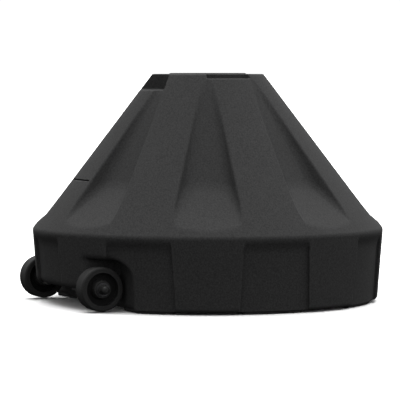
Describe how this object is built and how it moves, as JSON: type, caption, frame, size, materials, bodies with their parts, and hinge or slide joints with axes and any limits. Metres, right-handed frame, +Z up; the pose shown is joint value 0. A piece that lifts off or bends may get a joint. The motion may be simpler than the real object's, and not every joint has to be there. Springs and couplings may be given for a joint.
{
  "type": "water filled barrier",
  "caption": "Round black fluted water ballast tank, a wide-based truncated cone with a screw fill cap, a drain plug and a pair of wheels for tilting and rolling.",
  "frame": {"origin": "on the ground, on the tank's vertical axis, midway between the extremes of its round skirt", "axes": "+Z up; the axle lies along X; the wheels are on the -Y side"},
  "size_m": [0.7614, 0.7614, 0.495],
  "materials": {
    "tank_polyethylene": "matte, finely stippled",
    "wheel_plastic": "satin",
    "tyre_rubber": "matte",
    "cap_plastic": "satin",
    "insert_nylon": "satin",
    "seal_rubber": "matte",
    "zinc_steel": "zinc plated"
  },
  "bodies": {
    "tank": {"tank_base": "tank_polyethylene", "tank_crown": "tank_polyethylene", "tank_side_1": "tank_polyethylene", "tank_side_2": "tank_polyethylene", "tank_side_3": "tank_polyethylene", "tank_side_4": "tank_polyethylene", "tank_side_5": "tank_polyethylene", "tank_side_6": "tank_polyethylene", "tank_side_7": "tank_polyethylene", "tank_side_8": "tank_polyethylene", "fill_neck": "insert_nylon", "drain_bush": "insert_nylon", "axle": "zinc_steel", "inner_washer_left": "zinc_steel", "outer_washer_left": "zinc_steel", "axle_cap_left": "cap_plastic", "axle_saddle_left": "insert_nylon", "inner_washer_right": "zinc_steel", "outer_washer_right": "zinc_steel", "axle_cap_right": "cap_plastic", "axle_saddle_right": "insert_nylon", "saddle_screws": "zinc_steel"},
    "wheel_left": {"wheel_core_left": "wheel_plastic", "tyre_left": "tyre_rubber", "hub_bush_outer_left": "insert_nylon", "hub_bush_inner_left": "insert_nylon"},
    "wheel_right": {"wheel_core_right": "wheel_plastic", "tyre_right": "tyre_rubber", "hub_bush_outer_right": "insert_nylon", "hub_bush_inner_right": "insert_nylon"},
    "cap_seal": {"fill_cap_gasket": "seal_rubber"},
    "cap": {"fill_cap": "cap_plastic"},
    "plug_seal": {"drain_plug_washer": "seal_rubber"},
    "plug": {"drain_plug": "cap_plastic"}
  },
  "joints": [
    {"name": "wheel_left_spin", "type": "hinge", "parent": "tank", "child": "wheel_left", "pos_m": [-0.183, -0.3185, 0.0485], "axis": [1, 0, 0], "continuous": true},
    {"name": "wheel_right_spin", "type": "hinge", "parent": "tank", "child": "wheel_right", "pos_m": [0.183, -0.3185, 0.0485], "axis": [1, 0, 0], "continuous": true},
    {"name": "fill_cap_rise", "type": "slide", "parent": "tank", "child": "cap_seal", "axis": [0, 0, 1], "range_m": [0, 0.0181]},
    {"name": "fill_cap_turn", "type": "hinge", "parent": "cap_seal", "child": "cap", "pos_m": [0, 0, 0.487], "axis": [0, 0, 1], "range_deg": [0, 1080]},
    {"name": "drain_plug_rise", "type": "slide", "parent": "tank", "child": "plug_seal", "axis": [0, 1, 0], "range_m": [0, 0.0151]},
    {"name": "drain_plug_turn", "type": "hinge", "parent": "plug_seal", "child": "plug", "pos_m": [0, 0.3605, 0.03], "axis": [0, 1, 0], "range_deg": [0, 2160]}
  ],
  "couplings": [
    {"joint": "fill_cap_rise", "follows": "fill_cap_turn", "m_per_rad": 0.00095493},
    {"joint": "drain_plug_rise", "follows": "drain_plug_turn", "m_per_rad": 0.00039789}
  ]
}
